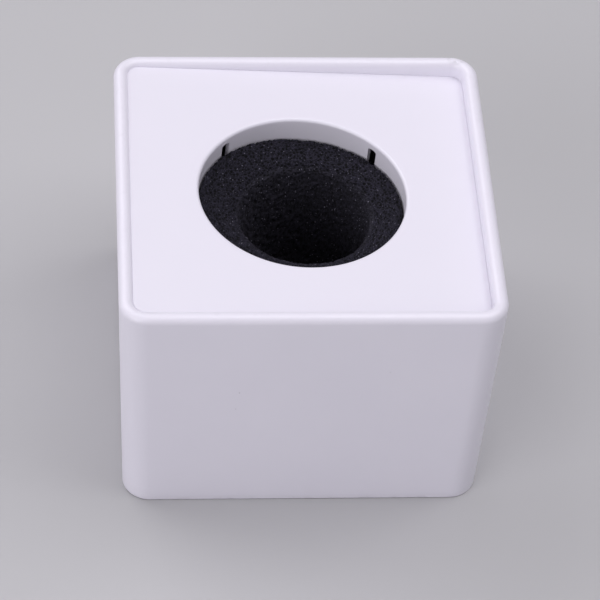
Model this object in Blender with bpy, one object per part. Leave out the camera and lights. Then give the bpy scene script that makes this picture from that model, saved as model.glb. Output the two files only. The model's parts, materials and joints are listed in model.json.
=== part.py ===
"""Microphone flag: a tapered square casing, a lid let into its mouth, and a foam sleeve for the handle.

Metres, +Z up along the microphone's handle. The origin lies on the surface that the flag stands on,
under the middle of the casing, and the front face looks along -Y.
"""
import math

import bmesh
import bpy
from mathutils import Euler, Matrix, Vector

# Casing: four walls and a floor in one moulding, widest at the rim.
HEIGHT = 0.0516
TOP_SIDE = 0.0704
DRAFT = 0.00146              # how far each side leans in between the rim and the base
CORNER_RADIUS = 0.0052
WALL = 0.0027
RIM_OUTER_RADIUS = 0.0015    # the rim's two roundings meet on its crest
BASE_EDGE_RADIUS = 0.0004
FLOOR = 0.0022
POST_RADIUS = 0.0032         # corner posts that the lid rests on
POST_INSET = 0.0029
POST_TOP = 0.0465

# Lid: a thin plate that sits a little askew, lower on its +X side.
LID_SIDE = 0.0642
LID_CORNER_RADIUS = 0.0023
LID_THICKNESS = 0.0015
LID_EDGE_RADIUS = 0.00015
LID_SURFACE = 0.04965
LID_TILT = (-math.radians(0.26), math.radians(2.08), 0.0)

# Handle passage: a round hole and a slotted collar in the lid, and the same in the floor.
BORE_X = -0.0004
BORE_Y = -0.0006
HOLE_RADIUS = 0.0194
HOLE_EDGE_RADIUS = 0.00065
COLLAR_THICKNESS = 0.0008
COLLAR_LENGTH = 0.012        # from the outer surface of the lid or the floor
SLOT_WIDTH = 0.002           # each slot starts at the inner face of the lid or the floor
SLOT_ARCH = 0.0004           # rise of a slot's nearly flat end
SLOT_ANGLES = (43.0, 135.0, 223.0, 315.0)

# Foam sleeve
SLEEVE_RADIUS = 0.0186
SLEEVE_BORE_RADIUS = 0.0125
SLEEVE_BOTTOM = 0.0042
SLEEVE_TOP = 0.0452
SLEEVE_BORE_LIP = 0.0018
SLEEVE_EDGE_RADIUS = 0.0006

# Points round each section, and along each rounding
CORNER_STEPS = 12
SIDE_POINTS = 5
RING_POINTS = 4 * (CORNER_STEPS + 1 + SIDE_POINTS)
ARC_STEPS = 5
EMBED = 0.0003               # how far a post runs into the floor that it grows from


def clear_scene():
    for obj in list(bpy.data.objects):
        bpy.data.objects.remove(obj, do_unlink=True)


def make_material(name, colour, roughness):
    material = bpy.data.materials.new(name)
    material.use_nodes = True
    shader = material.node_tree.nodes["Principled BSDF"]
    shader.inputs["Base Color"].default_value = (*colour, 1.0)
    shader.inputs["Roughness"].default_value = roughness
    shader.inputs["Metallic"].default_value = 0.0
    return material


def rounded_square(half_side, radius, z):
    """A ring of points: four corner arcs joined by straight sides, from the middle of the +X side."""
    half_flat = half_side - radius
    ring = []
    for quarter in range(4):
        turn = Matrix.Rotation(math.radians(90 * quarter), 3, "Z")
        side = [Vector((half_side, half_flat * (2 * step / (SIDE_POINTS + 1) - 1), z))
                for step in range(1, SIDE_POINTS + 1)]
        arc = []
        for step in range(CORNER_STEPS + 1):
            angle = math.radians(90 * step / CORNER_STEPS)
            arc.append(Vector((half_flat + radius * math.cos(angle), half_flat + radius * math.sin(angle), z)))
        ring += [turn @ point for point in side + arc]
    return ring


def circle(radius, z, centre=(0.0, 0.0)):
    """A ring with as many points as a rounded square, starting in the same direction."""
    start = math.atan2(2 / (SIDE_POINTS + 1) - 1, 1)
    angles = [start + 2 * math.pi * step / RING_POINTS for step in range(RING_POINTS)]
    return [Vector((centre[0] + radius * math.cos(a), centre[1] + radius * math.sin(a), z)) for a in angles]


def rounding(radius, start_degrees, end_degrees):
    """Offsets along an arc about its own centre, in the plane of distance outwards and height."""
    for step in range(ARC_STEPS + 1):
        angle = math.radians(start_degrees + (end_degrees - start_degrees) * step / ARC_STEPS)
        yield radius * math.cos(angle), radius * math.sin(angle)


def closed_loft(name, rings):
    """One skin through rings that close on themselves, like the surface of a thick tube."""
    mesh = bmesh.new()
    loops = [[mesh.verts.new(point) for point in ring] for ring in rings]
    for lower, upper in zip(loops, loops[1:] + loops[:1]):
        for here in range(len(lower)):
            after = (here + 1) % len(lower)
            mesh.faces.new((lower[here], lower[after], upper[after], upper[here]))
    return finish_mesh(name, mesh)


def finish_mesh(name, mesh):
    bmesh.ops.recalc_face_normals(mesh, faces=mesh.faces)
    data = bpy.data.meshes.new(name)
    mesh.to_mesh(data)
    mesh.free()
    data.shade_smooth()
    data.set_sharp_from_angle(angle=math.radians(35))
    obj = bpy.data.objects.new(name, data)
    bpy.context.scene.collection.objects.link(obj)
    return obj


def hide_cutter(obj):
    obj.hide_render = True
    obj.display_type = "WIRE"


def add_boolean(obj, other, operation):
    modifier = obj.modifiers.new(other.name, "BOOLEAN")
    modifier.operation = operation
    modifier.object = other


def slot_cutter(name, arched_end, open_end):
    """Four upright bars through a collar's wall, each with a low arched end at the plate's inner face."""
    half = SLOT_WIDTH / 2
    inward = math.copysign(1, open_end - arched_end)
    outline = [(-half, open_end)]
    for step in range(2 * ARC_STEPS + 1):
        angle = math.pi * (1 - step / (2 * ARC_STEPS))
        outline.append((half * math.cos(angle), arched_end + inward * SLOT_ARCH * (1 - math.sin(angle))))
    outline.append((half, open_end))
    mesh = bmesh.new()
    near = HOLE_RADIUS - COLLAR_THICKNESS
    depth = 3 * COLLAR_THICKNESS
    for degrees in SLOT_ANGLES:
        turn = Matrix.Rotation(math.radians(degrees), 4, "Z")
        face = mesh.faces.new([mesh.verts.new(turn @ Vector((near, across, z))) for across, z in outline])
        far = bmesh.ops.extrude_face_region(mesh, geom=[face])["geom"]
        moved = [item for item in far if isinstance(item, bmesh.types.BMVert)]
        bmesh.ops.translate(mesh, verts=moved, vec=turn @ Vector((depth, 0, 0)))
    cutter = finish_mesh(name, mesh)
    hide_cutter(cutter)
    return cutter


def casing_half_side(z):
    return TOP_SIDE / 2 - DRAFT * (1 - z / HEIGHT)


def wall_rings():
    """The outer wall from the base up, over the rim, and down the inner wall to the floor."""
    rings = []
    base_centre = casing_half_side(0) - BASE_EDGE_RADIUS
    for out, up in rounding(BASE_EDGE_RADIUS, -90, 0):
        offset = out - BASE_EDGE_RADIUS
        rings.append(rounded_square(base_centre + out, CORNER_RADIUS + offset, BASE_EDGE_RADIUS + up))
    for out, up in rounding(RIM_OUTER_RADIUS, 0, 90):
        z = HEIGHT - RIM_OUTER_RADIUS + up
        offset = out - RIM_OUTER_RADIUS
        rings.append(rounded_square(casing_half_side(z) + offset, CORNER_RADIUS + offset, z))
    inner_radius = WALL - RIM_OUTER_RADIUS
    for out, up in list(rounding(inner_radius, 90, 180))[1:]:
        z = HEIGHT - inner_radius + up
        offset = out - RIM_OUTER_RADIUS
        rings.append(rounded_square(casing_half_side(z) + offset, CORNER_RADIUS + offset, z))
    rings.append(rounded_square(casing_half_side(FLOOR) - WALL, CORNER_RADIUS - WALL, FLOOR))
    return rings


def collar_profile(inward):
    """Radius and height from the collar's free end to the hole's rounded edge, which is at z = 0."""
    end = inward * COLLAR_LENGTH
    profile = [(HOLE_RADIUS + COLLAR_THICKNESS, end), (HOLE_RADIUS, end)]
    for out, up in rounding(HOLE_EDGE_RADIUS, 180, 90):
        profile.append((HOLE_RADIUS + HOLE_EDGE_RADIUS + out, inward * (HOLE_EDGE_RADIUS - up)))
    return profile


def make_posts(casing):
    """Four round posts that lean with the walls, one in each inner corner."""
    base_centre = casing_half_side(FLOOR - EMBED) - WALL - POST_INSET
    top_centre = casing_half_side(POST_TOP) - WALL - POST_INSET
    for index, (x, y) in enumerate(((1, 1), (-1, 1), (-1, -1), (1, -1))):
        mesh = bmesh.new()
        height = POST_TOP - FLOOR + EMBED
        bmesh.ops.create_cone(mesh, cap_ends=True, segments=24, radius1=POST_RADIUS,
                              radius2=POST_RADIUS, depth=height)
        lean = (top_centre - base_centre) / height
        for vert in mesh.verts:
            climb = vert.co.z + height / 2
            vert.co = (vert.co.x + x * (base_centre + lean * climb),
                       vert.co.y + y * (base_centre + lean * climb), FLOOR - EMBED + climb)
        post = finish_mesh(f"post_{index + 1}", mesh)
        hide_cutter(post)
        add_boolean(casing, post, "UNION")


def make_casing(material):
    centre = (BORE_X, BORE_Y)
    rings = wall_rings()
    rings.append(circle(HOLE_RADIUS + COLLAR_THICKNESS, FLOOR, centre))
    rings += [circle(radius, z, centre) for radius, z in collar_profile(1)]
    casing = closed_loft("casing", rings)
    make_posts(casing)
    cutter = slot_cutter("floor_slots", FLOOR, COLLAR_LENGTH + SLOT_WIDTH)
    cutter.location = (BORE_X, BORE_Y, 0)
    add_boolean(casing, cutter, "DIFFERENCE")
    casing.data.materials.append(material)


def make_lid(material):
    """The plate in its own frame, its outer surface at z = 0, then laid askew in the casing's mouth."""
    half = LID_SIDE / 2
    centre = (BORE_X, BORE_Y)
    edge = LID_EDGE_RADIUS
    rings = []
    for out, up in rounding(edge, 90, 0):
        rings.append(rounded_square(half - edge + out, LID_CORNER_RADIUS, up - edge))
    for out, up in rounding(edge, 0, -90):
        rings.append(rounded_square(half - edge + out, LID_CORNER_RADIUS, edge - LID_THICKNESS + up))
    rings.append(circle(HOLE_RADIUS + COLLAR_THICKNESS, -LID_THICKNESS, centre))
    rings += [circle(radius, z, centre) for radius, z in collar_profile(-1)]
    lid = closed_loft("lid", rings)
    cutter = slot_cutter("lid_slots", -LID_THICKNESS, -COLLAR_LENGTH - SLOT_WIDTH)
    cutter.location = (BORE_X, BORE_Y, 0)
    add_boolean(lid, cutter, "DIFFERENCE")
    cutter.parent = lid
    lid.location = (0, 0, LID_SURFACE)
    lid.rotation_euler = Euler(LID_TILT)
    lid.data.materials.append(material)


def make_foam_sleeve(material):
    """A thick tube about its own origin on the slide's axis, with a soft lip round each end of the bore."""
    half = (SLEEVE_TOP - SLEEVE_BOTTOM) / 2
    edge = SLEEVE_EDGE_RADIUS
    lip = SLEEVE_BORE_LIP
    rings = []
    for out, up in rounding(edge, -90, 0):
        rings.append(circle(SLEEVE_RADIUS - edge + out, up + edge - half))
    for out, up in rounding(edge, 0, 90):
        rings.append(circle(SLEEVE_RADIUS - edge + out, half - edge + up))
    for out, up in rounding(lip, 90, 180):
        rings.append(circle(SLEEVE_BORE_RADIUS + lip + out, half - lip + up))
    for out, up in rounding(lip, 180, 270):
        rings.append(circle(SLEEVE_BORE_RADIUS + lip + out, up + lip - half))
    sleeve = closed_loft("foam_sleeve", rings)
    sleeve.location = (BORE_X, BORE_Y, SLEEVE_BOTTOM + half)
    sleeve.data.materials.append(material)


clear_scene()
white_abs = make_material("white_abs", (0.86, 0.84, 0.90), 0.32)
black_foam = make_material("black_foam", (0.02, 0.02, 0.022), 0.95)
make_casing(white_abs)
make_lid(white_abs)
make_foam_sleeve(black_foam)
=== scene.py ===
import itertools
import json
import math

import bmesh
import bpy
import numpy as np
from mathutils import Matrix, Vector


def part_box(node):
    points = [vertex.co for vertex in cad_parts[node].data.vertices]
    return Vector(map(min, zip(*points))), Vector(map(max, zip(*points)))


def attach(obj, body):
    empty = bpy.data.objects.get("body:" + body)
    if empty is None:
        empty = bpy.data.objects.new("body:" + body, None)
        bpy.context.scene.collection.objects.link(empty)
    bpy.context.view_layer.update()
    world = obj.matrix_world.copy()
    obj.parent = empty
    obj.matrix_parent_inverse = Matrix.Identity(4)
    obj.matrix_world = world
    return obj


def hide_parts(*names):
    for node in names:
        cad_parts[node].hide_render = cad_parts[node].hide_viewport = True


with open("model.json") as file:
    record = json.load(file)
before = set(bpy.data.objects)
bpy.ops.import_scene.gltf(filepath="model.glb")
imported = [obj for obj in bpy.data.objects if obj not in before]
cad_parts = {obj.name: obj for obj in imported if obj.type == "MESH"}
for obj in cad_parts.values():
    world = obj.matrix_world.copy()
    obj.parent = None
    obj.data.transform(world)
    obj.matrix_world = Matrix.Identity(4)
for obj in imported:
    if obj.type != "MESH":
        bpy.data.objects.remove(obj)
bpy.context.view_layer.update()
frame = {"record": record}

# ------------------------------------------------------------------ casing
# The body of the flag: four walls and a floor moulded in one piece of white ABS. The walls lean in
# towards the base, because the mould's core is drawn out through the mouth, and the rim is rounded on
# both edges. The floor carries the handle's hole, a slotted collar and four posts for the lid.
MM = 0.001
mounts = {mount["name"]: mount for mount in frame["record"]["mounts"]}
passage = np.array(mounts["handle_grip"]["pos_m"])
casing_low, casing_high = (np.array(corner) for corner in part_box("casing"))
CASING_HEIGHT = casing_high[2]
RIM_HALF_SIDE = (casing_high[0] - casing_low[0]) / 2
WALL_LEAN = mounts["front_panel"]["axis"][2] / mounts["front_panel"]["axis"][1]
WALL = 2.7 * MM
CORNER_RADIUS = 5.2 * MM
RIM_OUTER_RADIUS = 1.5 * MM
BASE_EDGE_RADIUS = 0.45 * MM
FLOOR = 2.2 * MM
INNER_FOOT_RADIUS = 0.8 * MM
HOLE_RADIUS = 19.4 * MM
HOLE_EDGE_RADIUS = 0.65 * MM
COLLAR_THICKNESS = 0.8 * MM
COLLAR_LENGTH = 12.0 * MM
SLOT_WIDTH = 2.0 * MM
SLOT_ARCH = 0.4 * MM
SLOTS_OFF_DIAGONALS = np.radians([-2.0, 0.0, -2.0, 0.0])
POST_RADIUS = 3.2 * MM
POST_INSET = 2.9 * MM
POST_TOP = 46.5 * MM
EDGE_SOFTNESS = 0.12 * MM
SIDE_STEPS = 44              # columns from the middle of a side to the diagonal
CORNER_SHARE = 0.42          # share of those columns that lie on the corner's arc
SLOT_ARC_STEPS = 10          # steps down a slot's arched end
COLLAR_STEPS = 11            # steps from there to the collar's free end
CASING_WHITE = (0.826, 0.806, 0.882, 1.0)
CASING_DULL = (0.812, 0.793, 0.870, 1.0)
GRIME = (0.20, 0.18, 0.19, 1.0)
PLASTIC_IOR = 1.53
PATCH_LENGTH = 22 * MM       # of the slow drift between the white and the dull white
RELIEF = 0.03 * MM           # height of the moulded ripple
SPECK_STRENGTH = 0.45
GRAIN_SCALE = 520.0          # of the noise that breaks the wear up, per metre
CREST_DEPTH = 0.9 * MM       # the rim is rubbed this far down from its top
CREST_WEAR = 0.035
SCUFF_PLACE = (31.5 * MM, 34.6 * MM, 51.3 * MM)
SCUFF_REACH = 2.6 * MM
SCUFF_CORE = 0.3 * MM
SCUFF_WEAR = 0.6
FOOT_HEIGHT = 1.2 * MM       # the base's edge is rubbed as far up as this
FOOT_WEAR = 0.12


def ring_columns():
    """The columns of every ring, counted round from the middle of the +X side.

    A quadrant is centred on its diagonal. Each column has its quadrant's diagonal, the side of the
    diagonal it is on, and its share of the way from the diagonal to the middle of the side. The
    diagonal itself has two columns, one for each edge of a slot. Two slots stand a little off it.
    """
    before = np.arange(SIDE_STEPS, -1, -1) / SIDE_STEPS
    after = np.arange(0, SIDE_STEPS) / SIDE_STEPS
    share = np.tile(np.concatenate([before, after]), 4)
    side = np.tile(np.concatenate([-np.ones(len(before)), np.ones(len(after))]), 4)
    quadrant = np.repeat(np.arange(4), len(before) + len(after))
    diagonal = np.pi / 4 + quadrant * np.pi / 2
    slot = diagonal + SLOTS_OFF_DIAGONALS[quadrant]
    return diagonal, slot, side, share


DIAGONAL, SLOT, SIDE, SHARE = ring_columns()
COLUMNS = len(SHARE)
SLOT_COLUMNS = np.arange(4) * (2 * SIDE_STEPS + 1) + SIDE_STEPS


def circle_ring(radius, z, slot_half_width=0.0):
    """A circle about the passage. Its columns run evenly from a slot's edge to the middle of a side."""
    edge = SLOT + SIDE * np.arcsin(slot_half_width / radius)
    angle = edge + (DIAGONAL + SIDE * np.pi / 4 - edge) * SHARE
    x = passage[0] + radius * np.cos(angle)
    y = passage[1] + radius * np.sin(angle)
    return np.stack([x, y, np.full(COLUMNS, z)], -1)


def square_ring(half_side, radius, z):
    """A square with round corners: the arc about the corner's own centre, then straight to mid-side."""
    along = np.clip((SHARE - CORNER_SHARE) / (1 - CORNER_SHARE), 0, 1)
    turn = DIAGONAL + SIDE * np.pi / 4 * np.clip(SHARE / CORNER_SHARE, 0, 1)
    outward = DIAGONAL + SIDE * np.pi / 4
    across = DIAGONAL - SIDE * np.pi / 4
    flat = half_side - radius
    x = flat * np.cos(outward) + flat * (1 - along) * np.cos(across) + radius * np.cos(turn)
    y = flat * np.sin(outward) + flat * (1 - along) * np.sin(across) + radius * np.sin(turn)
    return np.stack([x, y, np.full(COLUMNS, z)], -1)


def between(first, last, steps):
    """Rings in equal steps from one ring to another, without the two themselves."""
    weights = np.arange(1, steps) / steps
    return [first + (last - first) * weight for weight in weights]


def arc(radius, start_degrees, end_degrees, steps=10):
    """Offsets outwards and upwards along an arc about its own centre."""
    angle = np.radians(np.linspace(start_degrees, end_degrees, steps + 1))
    return zip(radius * np.cos(angle), radius * np.sin(angle))


def collar_depths(foot):
    """Depths below the surface from the collar's foot to its free end, and a slot's half width at each.

    A slot opens as a low half ellipse whose top touches the foot, and goes on with parallel edges.
    """
    half = SLOT_WIDTH / 2
    turn = np.linspace(0, np.pi / 2, SLOT_ARC_STEPS + 1)
    curved = foot + SLOT_ARCH * (1 - np.cos(turn))
    straight = np.linspace(foot + SLOT_ARCH, COLLAR_LENGTH, COLLAR_STEPS + 1)[1:]
    half_width = np.concatenate([half * np.sin(turn), np.full(COLLAR_STEPS, half)])
    return np.concatenate([curved, straight]), half_width


def collar_rings(foot, inward):
    """Rings down the collar's outside, up its inside and over the hole's rounded edge, at z = 0."""
    collar = list(zip(*collar_depths(foot)))
    outer = HOLE_RADIUS + COLLAR_THICKNESS
    rings = [circle_ring(outer, inward * depth, width) for depth, width in collar]
    rings += [circle_ring(HOLE_RADIUS, inward * depth, width) for depth, width in reversed(collar)]
    for out, up in arc(HOLE_EDGE_RADIUS, 180, 90):
        radius = HOLE_RADIUS + HOLE_EDGE_RADIUS + out
        rings.append(circle_ring(radius, inward * (HOLE_EDGE_RADIUS - up)))
    return rings


def slotted_surface(rings, first_collar_ring):
    """Points and faces of the skin through closed rings, open at the slots, with the slots' sides."""
    points = np.concatenate(rings)
    row = np.arange(len(rings))[:, None]
    column = np.setdiff1d(np.arange(COLUMNS), SLOT_COLUMNS)[None, :]
    next_row = (row + 1) % len(rings)
    next_column = (column + 1) % COLUMNS
    corners = [row * COLUMNS + column, row * COLUMNS + next_column,
               next_row * COLUMNS + next_column, next_row * COLUMNS + column]
    skin = np.stack([np.broadcast_to(c, corners[0].shape) for c in corners], -1).reshape(-1, 4)
    count = SLOT_ARC_STEPS + 1 + COLLAR_STEPS
    outer_row = first_collar_ring + np.arange(count)
    inner_row = first_collar_ring + 2 * count - 1 - np.arange(count)
    sides = []
    for edge in (SLOT_COLUMNS, SLOT_COLUMNS + 1):
        outer = outer_row[:, None] * COLUMNS + edge[None, :]
        inner = inner_row[:, None] * COLUMNS + edge[None, :]
        sides.append(np.stack([outer[:-1], outer[1:], inner[1:], inner[:-1]], -1).reshape(-1, 4))
    return points, np.concatenate([skin, *sides])


def make_piece(name, points, faces):
    """A mesh object at the origin, its doubled points merged and its faces turned outwards."""
    data = bpy.data.meshes.new(name)
    data.from_pydata(points.tolist(), [], faces.tolist())
    mesh = bmesh.new()
    mesh.from_mesh(data)
    bmesh.ops.remove_doubles(mesh, verts=mesh.verts, dist=1e-7)
    bmesh.ops.dissolve_degenerate(mesh, edges=mesh.edges, dist=1e-8)
    bmesh.ops.recalc_face_normals(mesh, faces=mesh.faces)
    mesh.to_mesh(data)
    mesh.free()
    data.shade_smooth()
    data.set_sharp_from_angle(angle=math.radians(40))
    piece = bpy.data.objects.new(name, data)
    bpy.context.scene.collection.objects.link(piece)
    return piece


def soften_edges(piece, width):
    """Takes the sharpness off every hard edge, as a polished mould leaves it."""
    bevel = piece.modifiers.new("soft edges", "BEVEL")
    bevel.width = width
    bevel.segments = 2
    bevel.limit_method = "ANGLE"
    bevel.angle_limit = math.radians(50)
    bevel.harden_normals = True


def wall_half_side(z):
    """Half the casing's width at a height: it shrinks evenly downwards by the walls' lean."""
    return RIM_HALF_SIDE - WALL_LEAN * (CASING_HEIGHT - RIM_OUTER_RADIUS - z)


def casing_rings():
    """Base edge, outer wall, rim, inner wall, then the floor's inside as far as the collar's foot."""
    base_centre = wall_half_side(BASE_EDGE_RADIUS) - BASE_EDGE_RADIUS
    base_corner = CORNER_RADIUS - BASE_EDGE_RADIUS
    base = [square_ring(base_centre + out, base_corner + out, BASE_EDGE_RADIUS + up)
            for out, up in arc(BASE_EDGE_RADIUS, -90, 0, 4)]
    rim = []
    for out, up in arc(RIM_OUTER_RADIUS, 0, 90):
        z = CASING_HEIGHT - RIM_OUTER_RADIUS + up
        inset = RIM_OUTER_RADIUS - out
        rim.append(square_ring(RIM_HALF_SIDE + WALL_LEAN * up - inset, CORNER_RADIUS - inset, z))
    inner_radius = WALL - RIM_OUTER_RADIUS
    for out, up in list(arc(inner_radius, 90, 180))[1:]:
        z = CASING_HEIGHT - inner_radius + up
        inset = RIM_OUTER_RADIUS - out
        rim.append(square_ring(wall_half_side(z) - inset, CORNER_RADIUS - inset, z))
    foot_top = FLOOR + INNER_FOOT_RADIUS
    foot_centre = wall_half_side(foot_top) - WALL - INNER_FOOT_RADIUS
    foot_corner = CORNER_RADIUS - WALL - INNER_FOOT_RADIUS
    foot = [square_ring(foot_centre + out, foot_corner + out, foot_top + up)
            for out, up in arc(INNER_FOOT_RADIUS, 0, -90, 4)]
    return [*base, *between(base[-1], rim[0], 24), *rim, *between(rim[-1], foot[0], 24), *foot]


def add_posts(casing):
    """Unites four leaning round posts with the casing's inner corners, where the lid's corners rest."""
    foot = FLOOR - 0.3 * MM
    base_centre = wall_half_side(foot) - WALL - POST_INSET
    top_centre = wall_half_side(POST_TOP) - WALL - POST_INSET
    turn = np.linspace(0, 2 * np.pi, 48, endpoint=False)
    for index, (x, y) in enumerate(((1, 1), (-1, 1), (-1, -1), (1, -1))):
        points = [np.stack([x * centre + POST_RADIUS * np.cos(turn), y * centre + POST_RADIUS * np.sin(turn),
                            np.full(len(turn), z)], -1)
                  for centre, z in ((base_centre, foot), (top_centre, POST_TOP))]
        low = np.arange(len(turn))
        wall = np.stack([low, np.roll(low, -1), np.roll(low, -1) + len(turn), low + len(turn)], -1)
        faces = [*wall.tolist(), low[::-1].tolist(), (low + len(turn)).tolist()]
        data = bpy.data.meshes.new("post")
        data.from_pydata(np.concatenate(points).tolist(), [], faces)
        post = bpy.data.objects.new(f"post_{index + 1}", data)
        bpy.context.scene.collection.objects.link(post)
        union = casing.modifiers.new(post.name, "BOOLEAN")
        union.operation = "UNION"
        union.object = post
    bpy.context.view_layer.update()
    evaluated = casing.evaluated_get(bpy.context.evaluated_depsgraph_get())
    united = bpy.data.meshes.new_from_object(evaluated)
    tools = [modifier.object for modifier in casing.modifiers]
    casing.modifiers.clear()
    casing.data = united
    for tool in tools:
        bpy.data.objects.remove(tool, do_unlink=True)


def make_casing():
    """The rings from the base's edge over the rim and down to the floor, then the collar, and back along
    the underside to the base's edge, joined into one closed skin and united with the posts."""
    rings = casing_rings()
    foot_ring = circle_ring(HOLE_RADIUS + COLLAR_THICKNESS, FLOOR)
    rings += between(rings[-1], foot_ring, 8)
    first_collar_ring = len(rings)
    rings += collar_rings(FLOOR, 1)
    rings += between(rings[-1], rings[0], 8)
    piece = make_piece("casing_shell", *slotted_surface(rings, first_collar_ring))
    add_posts(piece)
    soften_edges(piece, EDGE_SOFTNESS)
    return piece


def add_node(tree, kind, inputs, **settings):
    """A shader node. An input that is given another node's output is linked to it, any other is set."""
    node = tree.nodes.new(kind)
    for name, value in settings.items():
        setattr(node, name, value)
    for name, value in inputs.items():
        if isinstance(value, bpy.types.NodeSocket):
            tree.links.new(value, node.inputs[name])
        else:
            node.inputs[name].default_value = value
    return node


def calculate(tree, operation, *values):
    """A Math node's result."""
    node = add_node(tree, "ShaderNodeMath", dict(enumerate(values)), operation=operation)
    return node.outputs["Value"]


def remap(tree, value, low, high, to_low=0.0, to_high=1.0):
    """The value carried smoothly from low-high to to_low-to_high, and held at both ends."""
    node = add_node(tree, "ShaderNodeMapRange", {"Value": value, "From Min": low, "From Max": high,
                    "To Min": to_low, "To Max": to_high}, interpolation_type="SMOOTHSTEP")
    return node.outputs["Result"]


def mix_colours(tree, share, first, second):
    """The first colour at share 0 and the second at share 1, each a fixed colour or a node's output."""
    node = tree.nodes.new("ShaderNodeMix")
    node.data_type = "RGBA"
    factor, *_ = node.inputs
    pair = [socket for socket in node.inputs if socket.type == "RGBA"]
    for socket, value in zip((factor, *pair), (share, first, second)):
        if isinstance(value, bpy.types.NodeSocket):
            tree.links.new(value, socket)
        else:
            socket.default_value = value
    return next(socket for socket in node.outputs if socket.type == "RGBA")


def new_effect(name, numbers, results):
    """An empty node group with named number inputs and named number outputs, and its two end nodes."""
    group = bpy.data.node_groups.new(name, "ShaderNodeTree")
    for label, value in numbers.items():
        socket = group.interface.new_socket(name=label, in_out="INPUT", socket_type="NodeSocketFloat")
        socket.default_value = value
    for label in results:
        group.interface.new_socket(name=label, in_out="OUTPUT", socket_type="NodeSocketFloat")
    return group, group.nodes.new("NodeGroupInput").outputs, group.nodes.new("NodeGroupOutput").inputs


def use_effect(tree, group, numbers):
    """The outputs of a node group placed in a material with this material's own numbers."""
    return add_node(tree, "ShaderNodeGroup", numbers, node_tree=group).outputs


def ripple_effect():
    """The skin of moulded plastic: slow waves from cooling, and on them a fine orange peel."""
    group, given, result = new_effect("moulded ripple", {"Wave Length": 0.012, "Peel Length": 0.0009,
                                      "Peel Share": 0.15}, ["Height"])
    place = add_node(group, "ShaderNodeTexCoord", {}).outputs["Object"]
    wave = add_node(group, "ShaderNodeTexNoise", {"Vector": place, "Detail": 1.0,
                    "Scale": calculate(group, "DIVIDE", 1.0, given["Wave Length"])})
    peel = add_node(group, "ShaderNodeTexNoise", {"Vector": place, "Detail": 2.0,
                    "Scale": calculate(group, "DIVIDE", 1.0, given["Peel Length"])})
    fine = calculate(group, "MULTIPLY", peel.outputs["Fac"], given["Peel Share"])
    group.links.new(calculate(group, "ADD", wave.outputs["Fac"], fine), result["Height"])
    return group


def speck_effect():
    """Scattered grains: a ball round a seed point in some of the cells, cut by the surface. Grey specks on
    the plastic, painted glints on the foam.
    """
    group, given, result = new_effect("scattered specks and glints", {"Spacing": 0.004, "Size": 0.0002,
                                      "Share": 0.3}, ["Mask", "Tone"])
    place = add_node(group, "ShaderNodeTexCoord", {}).outputs["Object"]
    cells = add_node(group, "ShaderNodeTexVoronoi", {"Vector": place,
                     "Scale": calculate(group, "DIVIDE", 1.0, given["Spacing"])})
    reach = calculate(group, "DIVIDE", given["Size"], given["Spacing"])
    near = calculate(group, "SUBTRACT", 1.0, calculate(group, "DIVIDE", cells.outputs["Distance"], reach))
    tone = add_node(group, "ShaderNodeSeparateColor", {"Color": cells.outputs["Color"]})
    chosen = calculate(group, "LESS_THAN", tone.outputs["Red"], given["Share"])
    mask = calculate(group, "MULTIPLY", remap(group, near, 0.0, 0.5), chosen)
    group.links.new(mask, result["Mask"])
    group.links.new(tone.outputs["Green"], result["Tone"])
    return group


def drift_effect():
    """Slow uneven patches. A noise of the given length is spread to the range 0 to 1."""
    group, given, result = new_effect("slow drift", {"Patch Length": 0.02}, ["Mask"])
    place = add_node(group, "ShaderNodeTexCoord", {}).outputs["Object"]
    scale = calculate(group, "DIVIDE", 1.0, given["Patch Length"])
    noise = add_node(group, "ShaderNodeTexNoise", {"Vector": place, "Scale": scale, "Detail": 3.0})
    group.links.new(remap(group, noise.outputs["Fac"], 0.3, 0.7), result["Mask"])
    return group


RIPPLE = ripple_effect()
SPECKS_AND_GLINTS = speck_effect()
DRIFT = drift_effect()


def new_material(name, colour, roughness):
    """A material whose Principled shader has this colour and roughness, its tree and that shader."""
    material = bpy.data.materials.new(name)
    material.use_nodes = True
    tree = material.node_tree
    shader = tree.nodes["Principled BSDF"]
    shader.inputs["Base Color"].default_value = colour
    shader.inputs["Roughness"].default_value = roughness
    return material, tree, shader


def plastic_skin(tree, shader, bright, dull, roughness, ripple, specks):
    """The finish that both mouldings share, placed in one's material: a slow drift between two close
    whites and two close roughnesses, grey specks and ripple. Returns the colour before wear."""
    drift = use_effect(tree, DRIFT, {"Patch Length": PATCH_LENGTH})["Mask"]
    tone = mix_colours(tree, drift, bright, dull)
    dots = use_effect(tree, SPECKS_AND_GLINTS, specks)["Mask"]
    tone = mix_colours(tree, calculate(tree, "MULTIPLY", dots, SPECK_STRENGTH), tone, GRIME)
    low, high = roughness
    tree.links.new(remap(tree, drift, 0.0, 1.0, low, high), shader.inputs["Roughness"])
    waves = use_effect(tree, RIPPLE, ripple)["Height"]
    bump = add_node(tree, "ShaderNodeBump", {"Height": waves, "Strength": 1.0, "Distance": RELIEF})
    tree.links.new(bump.outputs["Normal"], shader.inputs["Normal"])
    return tone


def rub(tree, tone, place, grain, strength):
    """The tone with grime where a rubbed place and the broken grain overlap, at this strength."""
    worn = calculate(tree, "MULTIPLY", place, grain)
    return mix_colours(tree, calculate(tree, "MULTIPLY", worn, strength), tone, GRIME)


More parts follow.
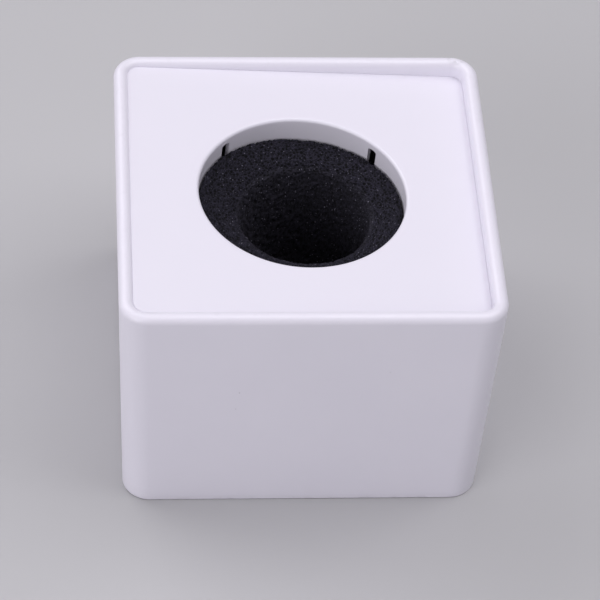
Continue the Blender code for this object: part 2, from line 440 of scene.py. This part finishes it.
def casing_material():
    """The white skin, rubbed along the rim and the base's edge and scuffed at one corner of the rim."""
    material, tree, shader = new_material("casing white plastic", CASING_WHITE, 0.3)
    shader.inputs["IOR"].default_value = PLASTIC_IOR
    tone = plastic_skin(tree, shader, CASING_WHITE, CASING_DULL, (0.29, 0.37),
                        {"Wave Length": 14 * MM, "Peel Length": 1.1 * MM, "Peel Share": 0.03},
                        {"Spacing": 7 * MM, "Size": 0.16 * MM, "Share": 0.35})
    place = add_node(tree, "ShaderNodeTexCoord", {}).outputs["Object"]
    height = add_node(tree, "ShaderNodeSeparateXYZ", {"Vector": place}).outputs["Z"]
    noise = add_node(tree, "ShaderNodeTexNoise", {"Vector": place, "Scale": GRAIN_SCALE, "Detail": 4.0})
    grain = noise.outputs["Fac"]
    crest = remap(tree, height, CASING_HEIGHT - CREST_DEPTH, CASING_HEIGHT)
    tone = rub(tree, tone, crest, remap(tree, grain, 0.56, 0.72), CREST_WEAR)
    from_scuff = add_node(tree, "ShaderNodeVectorMath", {0: place, 1: SCUFF_PLACE}, operation="DISTANCE")
    scuff = remap(tree, from_scuff.outputs["Value"], SCUFF_REACH, SCUFF_CORE)
    tone = rub(tree, tone, scuff, remap(tree, grain, 0.45, 0.58), SCUFF_WEAR)
    foot = calculate(tree, "MULTIPLY", remap(tree, height, FOOT_HEIGHT, FOOT_HEIGHT / 4),
                     remap(tree, height, 0.0, FOOT_HEIGHT / 8))
    tone = rub(tree, tone, foot, remap(tree, grain, 0.50, 0.66), FOOT_WEAR)
    tree.links.new(tone, shader.inputs["Base Color"])
    return material


casing = make_casing()
casing.data.materials.clear()
casing.data.materials.append(casing_material())
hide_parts("casing")
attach(casing, "shell")

# --------------------------------------------------------------------- lid
# A thin plate of the same ABS, let into the casing's mouth and glued onto the four posts, a little
# askew. Its hole has a rounded edge, and a collar hangs from it whose four slots let the plastic give
# when the foam and the handle are pushed in.
LID_HALF_DEPTH = 32.46 * MM
LID_WIDTH_SHARE = 1.0018     # it is wider than it is deep, because its high side meets a wall that opens
LID_SHIFT = -0.07 * MM
LID_CORNER_RADIUS = 2.5 * MM
LID_THICKNESS = 1.5 * MM
LID_EDGE_RADIUS = 0.10 * MM
# painted light: the lid's whites are a touch lighter than the casing's for the same ABS, to lift the shade in
# its collar
LID_WHITE_PAINTED_LIGHTER = (0.832, 0.812, 0.888, 1.0)
LID_DULL_PAINTED_LIGHTER = (0.820, 0.801, 0.878, 1.0)
lid_face = np.array(mounts["lid_face"]["pos_m"])
lid_normal = np.array(mounts["lid_face"]["axis"])


def make_lid():
    """The plate with its outer face at z = 0, then turned onto the lid's normal and lifted in place."""
    half = LID_HALF_DEPTH - LID_EDGE_RADIUS
    corner = LID_CORNER_RADIUS - LID_EDGE_RADIUS
    rings = [square_ring(half + out, corner + out, up - LID_EDGE_RADIUS)
             for out, up in arc(LID_EDGE_RADIUS, 90, 0, 4)]
    rings += [square_ring(half + out, corner + out, up + LID_EDGE_RADIUS - LID_THICKNESS)
              for out, up in arc(LID_EDGE_RADIUS, 0, -90, 4)]
    for ring in rings:
        ring[:, 0] = ring[:, 0] * LID_WIDTH_SHARE + LID_SHIFT
    foot_ring = circle_ring(HOLE_RADIUS + COLLAR_THICKNESS, -LID_THICKNESS)
    rings += between(rings[-1], foot_ring, 12)
    first_collar_ring = len(rings)
    rings += collar_rings(LID_THICKNESS, -1)
    rings += between(rings[-1], rings[0], 20)
    piece = make_piece("lid_plate", *slotted_surface(rings, first_collar_ring))
    height = lid_normal @ lid_face / lid_normal[2]
    turn = Matrix.Rotation(math.atan2(lid_normal[0], lid_normal[2]), 4, "Y")
    tip = Matrix.Rotation(-math.asin(lid_normal[1]), 4, "X")
    piece.data.transform(Matrix.Translation((0, 0, height)) @ turn @ tip)
    soften_edges(piece, EDGE_SOFTNESS)
    return piece


def lid_material():
    """The same white skin, a touch duller, and painted a touch lighter than the casing's as painted light on
    the lid's shaded collar, with no wear: it lies sunk under the rim.
    """
    material, tree, shader = new_material("lid white plastic painted lighter", LID_WHITE_PAINTED_LIGHTER, 0.32)
    shader.inputs["IOR"].default_value = PLASTIC_IOR
    tone = plastic_skin(tree, shader, LID_WHITE_PAINTED_LIGHTER, LID_DULL_PAINTED_LIGHTER, (0.30, 0.38),
                        {"Wave Length": 17 * MM, "Peel Length": 0.9 * MM, "Peel Share": 0.04},
                        {"Spacing": 8 * MM, "Size": 0.17 * MM, "Share": 0.4})
    tree.links.new(tone, shader.inputs["Base Color"])
    return material


lid = make_lid()
lid.data.materials.append(lid_material())
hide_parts("lid")
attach(lid, "shell")

# ------------------------------------------------------------- foam sleeve
# A thick tube cut from black open-cell foam and pushed through both collars, which hold it by its own
# squeeze. The squeeze leaves its top uneven, higher at the left, and dished towards a bore with a soft
# lip. The surface is a net of fine struts round open cells.
FOAM_RADIUS = 19.1 * MM
FOAM_AXIS = passage[:2] + np.array([-0.2, -0.02]) * MM
FOAM_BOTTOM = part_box("foam_sleeve")[0][2]
FOAM_EDGE = 0.6 * MM
BORE_RADIUS = 12.4 * MM
BORE_AXIS = passage[:2] + np.array([0.8, 0.2]) * MM
BORE_TOP = 44.0 * MM
BORE_LIP = 1.9 * MM
BORE_ROUNDING = 1.4          # power of the fall from the top's edge to the bore
FOAM_COLUMNS = 440
OUTSIDE_ROWS = 104
TOP_ROWS = 34
BORE_ROWS = 96
UNDER_ROWS = 20
CELL = 0.62 * MM
CELL_DEPTH = 0.30 * MM
TEAR = 1.5 * MM              # spacing of the wider, shallower hollows where the knife tore cells open
TEAR_DEPTH = 0.22 * MM
FINE_CELL = 0.34 * MM        # cells too small for the mesh, drawn in the material with painted highlights on their struts
FOAM_DARK = (0.010, 0.0093, 0.0145, 1.0)
# painted highlight: the colour of the fine struts, lighter than the near-black pores
FOAM_STRUT_HIGHLIGHT = (0.029, 0.027, 0.043, 1.0)
# painted shade: the colour of the cells' sunk hollows
FOAM_HOLLOW_SHADE = (0.003, 0.003, 0.004, 1.0)
# painted glint: the colour of struts painted as if catching the light
FOAM_PAINTED_GLINT = (0.24, 0.23, 0.29, 1.0)
# painted light: the colour that the bore's wall is lightened towards
FOAM_BORE_PAINTED_LIGHT = (0.60, 0.58, 0.70, 1.0)
BORE_PAINTED_LIGHT_SHARE = 0.028           # the bore's wall is painted this much lighter, painted light for the light in the bore
FACE_PAINTED_GLINTS = 0.55           # how strongly the painted glints on the struts show on the outside and in the bore
BORE_PAINTED_GLINTS = 1.5
FOAM_GLOSS = 0.22


def foam_top_edge(angle):
    """Height of the foam at the collar's wall: a tilt towards the left and a slighter double wave."""
    tilt = 0.96 * np.cos(angle + np.radians(157))
    wave = 0.64 * np.cos(2 * (angle + np.radians(11)))
    return (46.20 + tilt + wave) * MM


def foam_grid():
    """The smooth skin as rows x columns x 3, closed both ways.

    A row is at a share of the way from the bore's circle (0) to the outer circle (1), whose centres
    differ. The rows go up the outside, over the top, round the lip, down the bore and back below. The
    top's height goes from the bore's to the edge's as a power of the share.
    """
    angle = np.linspace(0, 2 * np.pi, FOAM_COLUMNS, endpoint=False)[None, :]
    thickness = FOAM_RADIUS - BORE_RADIUS
    edge_share = FOAM_EDGE / thickness
    lip_share = BORE_LIP / thickness

    def top(share):
        return BORE_TOP + (foam_top_edge(angle) - BORE_TOP) * share[:, None] ** BORE_ROUNDING

    def quarter(start, end, steps):
        turn = np.radians(np.linspace(start, end, steps, endpoint=False))
        return np.cos(turn), np.sin(turn)[:, None]

    up = np.linspace(0, 1, OUTSIDE_ROWS, endpoint=False)[:, None]
    outside = np.ones(OUTSIDE_ROWS)
    outside_z = FOAM_BOTTOM + FOAM_EDGE + (top(outside) - 2 * FOAM_EDGE - FOAM_BOTTOM) * up
    cosine, sine = quarter(0, 90, 5)
    shoulder = 1 - edge_share * (1 - cosine)
    shoulder_z = top(shoulder) - FOAM_EDGE * (1 - sine)
    face = np.linspace(1 - edge_share, lip_share, TOP_ROWS, endpoint=False)
    cosine, sine = quarter(90, 180, 18)
    lip = lip_share * (1 + cosine)
    lip_z = top(lip) - BORE_LIP * (1 - sine)
    down = (np.linspace(0, 1, BORE_ROWS, endpoint=False) ** 1.2)[:, None]
    bore = np.zeros(BORE_ROWS)
    bore_z = top(bore) - BORE_LIP + (FOAM_BOTTOM + 2 * BORE_LIP - top(bore)) * down
    cosine, sine = quarter(180, 270, 8)
    under_lip = lip_share * (1 + cosine)
    under_lip_z = FOAM_BOTTOM + BORE_LIP * (1 + sine) + 0 * angle
    under = np.linspace(lip_share, 1 - edge_share, UNDER_ROWS, endpoint=False)
    under_z = np.full((UNDER_ROWS, FOAM_COLUMNS), FOAM_BOTTOM)
    cosine, sine = quarter(270, 360, 4)
    under_edge = 1 - edge_share * (1 - cosine)
    under_edge_z = FOAM_BOTTOM + FOAM_EDGE * (1 + sine) + 0 * angle
    share = np.concatenate([outside, shoulder, face, lip, bore, under_lip, under, under_edge])[:, None]
    z = np.concatenate([outside_z, shoulder_z, top(face), lip_z, bore_z, under_lip_z, under_z,
                        under_edge_z])
    sway = 0.16 * np.sin(3 * angle + 1.1 + 90 * z) + 0.10 * np.sin(5 * angle + 0.4 - 160 * z)
    bore_radius = BORE_RADIUS + sway * MM
    radius = bore_radius + (FOAM_RADIUS - bore_radius) * share
    centre = BORE_AXIS + (FOAM_AXIS - BORE_AXIS) * share[..., None]
    return np.stack([centre[..., 0] + radius * np.cos(angle), centre[..., 1] + radius * np.sin(angle), z], -1)


def scatter(cube):
    """Three numbers from 0 to 1 for each cube of a lattice, always the same: an integer hash."""
    spread = cube.astype(np.uint64) * np.array([73856093, 19349663, 83492791], np.uint64)
    mixed = spread[:, 0] ^ spread[:, 1] ^ spread[:, 2]
    numbers = []
    for salt in (1, 2, 3):
        value = (mixed + np.uint64(salt * 668265263)) & np.uint64(0xFFFFFFFF)
        value = ((value ^ (value >> np.uint64(15))) * np.uint64(2246822519)) & np.uint64(0xFFFFFFFF)
        value = ((value ^ (value >> np.uint64(13))) * np.uint64(3266489917)) & np.uint64(0xFFFFFFFF)
        numbers.append((value ^ (value >> np.uint64(16))) / 0xFFFFFFFF)
    return np.stack(numbers, -1)


def hollows(points, size):
    """1 in the middle of each cell and 0 on the borders between cells, eased at both ends.

    The border is where the two nearest seeds are equally far, so the height follows the second nearest
    distance less the nearest. Each cube of a lattice holds one scattered seed.
    """
    scaled = points / size + 1000
    cube = np.floor(scaled).astype(np.int64)
    nearest = np.full(len(points), 9.0)
    second = nearest.copy()
    for step in itertools.product((-1, 0, 1), repeat=3):
        corner = cube + step
        distance = np.linalg.norm(scaled - corner - scatter(corner), axis=1)
        second = np.minimum(second, np.maximum(nearest, distance))
        nearest = np.minimum(nearest, distance)
    inside = np.clip((second - nearest) / 0.45, 0, 1)
    return inside * inside * (3 - 2 * inside)


def make_foam():
    """The smooth skin sunk along its normal in the middle of every cell, so that the struts between
    the cells stay where the skin was. How far a point is sunk, and whether it is on the bore's wall,
    are kept as attributes for the material."""
    grid = foam_grid()
    around = np.roll(grid, -1, 1) - np.roll(grid, 1, 1)
    along = np.roll(grid, -1, 0) - np.roll(grid, 1, 0)
    normal = np.cross(around, along)
    normal /= np.linalg.norm(normal, axis=-1, keepdims=True)
    skin = grid.reshape(-1, 3)
    sunk = hollows(skin, CELL)
    depth = CELL_DEPTH * sunk + TEAR_DEPTH * hollows(skin, TEAR)
    points = skin - normal.reshape(-1, 3) * depth[:, None]
    rows = len(grid)
    index = np.arange(rows * FOAM_COLUMNS).reshape(rows, FOAM_COLUMNS)
    right = np.roll(index, -1, 1)
    faces = np.stack([index, right, np.roll(right, -1, 0), np.roll(index, -1, 0)], -1).reshape(-1, 4)
    data = bpy.data.meshes.new("foam_insert")
    data.from_pydata(points.tolist(), [], faces.tolist())
    data.shade_smooth()
    in_bore = np.clip((foam_top_edge(0) - skin[:, 2]) / (4 * MM), 0, 1)
    in_bore *= np.linalg.norm(skin[:, :2] - BORE_AXIS, axis=1) < BORE_RADIUS + 0.5 * MM
    for label, values in (("sunk", sunk), ("in bore", in_bore)):
        mask = data.attributes.new(label, "FLOAT", "POINT")
        mask.data.foreach_set("value", values.astype(np.float32))
    piece = bpy.data.objects.new("foam_insert", data)
    bpy.context.scene.collection.objects.link(piece)
    return piece


def foam_material():
    """Painted highlights on fine struts over near black, painted shade where the skin is sunk, and painted
    glints on a scatter of struts.
    """
    material, tree, shader = new_material("black open-cell foam", FOAM_DARK, 0.9)
    shader.inputs["Specular IOR Level"].default_value = FOAM_GLOSS
    sunk = add_node(tree, "ShaderNodeAttribute", {}, attribute_name="sunk").outputs["Fac"]
    place = add_node(tree, "ShaderNodeTexCoord", {}).outputs["Object"]
    cells = add_node(tree, "ShaderNodeTexVoronoi", {"Vector": place, "Scale": 1 / FINE_CELL},
                     feature="DISTANCE_TO_EDGE")
    fine = cells.outputs["Distance"]
    # painted highlight: the struts of the fine cells are painted lighter than their pores
    strut_highlight = remap(tree, fine, 0.16, 0.02)
    tone = mix_colours(tree, strut_highlight, FOAM_DARK, FOAM_STRUT_HIGHLIGHT)
    # painted shade: the deeper a point is sunk in its cell's hollow, the nearer black it is painted
    tone = mix_colours(tree, remap(tree, sunk, 0.15, 0.9), tone, FOAM_HOLLOW_SHADE)
    # painted glints: scattered struts painted bright and less rough, more strongly in the bore
    painted_glints = use_effect(tree, SPECKS_AND_GLINTS, {"Spacing": 0.48 * MM, "Size": 0.15 * MM, "Share": 0.23})
    in_bore = add_node(tree, "ShaderNodeAttribute", {}, attribute_name="in bore").outputs["Fac"]
    bright = calculate(tree, "MULTIPLY", painted_glints["Mask"], remap(tree, painted_glints["Tone"], 0.0, 1.0, 0.25, 1.0))
    bright = calculate(tree, "MULTIPLY", bright, remap(tree, in_bore, 0.0, 1.0, FACE_PAINTED_GLINTS, BORE_PAINTED_GLINTS))
    tone = mix_colours(tree, bright, tone, FOAM_PAINTED_GLINT)
    # painted light: the bore's wall is painted lighter, standing in for light in the bore, not for a
    # difference in the foam
    bore_painted_light = calculate(tree, "MULTIPLY", in_bore, BORE_PAINTED_LIGHT_SHARE)
    tone = mix_colours(tree, bore_painted_light, tone, FOAM_BORE_PAINTED_LIGHT)
    tree.links.new(tone, shader.inputs["Base Color"])
    tree.links.new(remap(tree, bright, 0.0, 1.0, 0.92, 0.45), shader.inputs["Roughness"])
    relief = add_node(tree, "ShaderNodeBump", {"Height": calculate(tree, "MINIMUM", fine, 0.3),
                      "Strength": 1.0, "Distance": -FINE_CELL * 0.5})
    tree.links.new(relief.outputs["Normal"], shader.inputs["Normal"])
    return material


foam = make_foam()
foam.data.materials.append(foam_material())
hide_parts("foam_sleeve")
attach(foam, "sleeve")

# ------------------------------------------------------------------ studio
# A plain pale table top in a pale room, under four soft square lights: the main one low in front at the
# left, one behind at the left, one overhead and one at the right. The camera looks down at the front
# from a little to the left, with a slight roll.
TABLE_TOP_HALF_SIDE = 2.5
TABLE_TOP_GREY = (0.50, 0.50, 0.505, 1.0)
LIGHT_DISTANCE = 1.3
LIGHT_SIDE = 1.0
LIGHT_COLOUR = (0.970, 0.948, 1.0)
ROOM_LIGHT = 0.205
AIM = Vector((0.10, -5.93, 25.80)) * MM
CAMERA_DISTANCE = 593.95 * MM
CAMERA_HEIGHT_ANGLE = math.radians(46.527)
CAMERA_TURN = math.radians(6.585)
CAMERA_ROLL = math.radians(4.633)
CAMERA_LENS = 187.0
SENSOR_WIDTH = 36.0


def make_table_top():
    """One flat square at z = 0, large enough to fill every view."""
    side = TABLE_TOP_HALF_SIDE
    data = bpy.data.meshes.new("table_top")
    data.from_pydata([(-side, -side, 0), (side, -side, 0), (side, side, 0), (-side, side, 0)], [],
                     [(0, 1, 2, 3)])
    data.materials.append(new_material("matt table top", TABLE_TOP_GREY, 0.8)[0])
    table_top = bpy.data.objects.new("table_top", data)
    bpy.context.scene.collection.objects.link(table_top)


def add_soft_light(name, turn_degrees, height_degrees, power):
    """A square area light at the lights' distance, turned from +X towards +Y, facing the object."""
    height = math.radians(height_degrees)
    direction = Vector((math.cos(height), 0, math.sin(height)))
    direction.rotate(Matrix.Rotation(math.radians(turn_degrees), 3, "Z"))
    data = bpy.data.lights.new(name, "AREA")
    data.shape = "SQUARE"
    data.size = LIGHT_SIDE
    data.energy = power
    data.color = LIGHT_COLOUR
    light = bpy.data.objects.new(name, data)
    light.location = AIM + direction * LIGHT_DISTANCE
    light.rotation_euler = direction.to_track_quat("Z", "Y").to_euler()
    bpy.context.scene.collection.objects.link(light)


def make_room():
    """An even surrounding light of the lights' own colour."""
    world = bpy.data.worlds.new("pale room")
    world.use_nodes = True
    background = world.node_tree.nodes["Background"]
    background.inputs["Color"].default_value = (*LIGHT_COLOUR, 1.0)
    background.inputs["Strength"].default_value = ROOM_LIGHT
    bpy.context.scene.world = world


def add_camera():
    """Looks at the aim point, turned from +Y towards +X, tipped down and rolled."""
    data = bpy.data.cameras.new("camera")
    data.lens = CAMERA_LENS
    data.sensor_width = SENSOR_WIDTH
    camera = bpy.data.objects.new("camera", data)
    facing = (Matrix.Rotation(-CAMERA_TURN, 4, "Z")
              @ Matrix.Rotation(math.pi / 2 - CAMERA_HEIGHT_ANGLE, 4, "X")
              @ Matrix.Rotation(CAMERA_ROLL, 4, "Z"))
    camera.matrix_world = Matrix.Translation(AIM) @ facing @ Matrix.Translation((0, 0, CAMERA_DISTANCE))
    bpy.context.scene.collection.objects.link(camera)
    bpy.context.scene.camera = camera


make_table_top()
add_soft_light("front left", 225, 22, 7.8)
add_soft_light("rear left", 135, 45, 6.5)
add_soft_light("overhead", 0, 74, 7.7)
add_soft_light("right", 0, 45, 3.0)
make_room()
add_camera()
bpy.context.scene.view_settings.view_transform = "Standard"
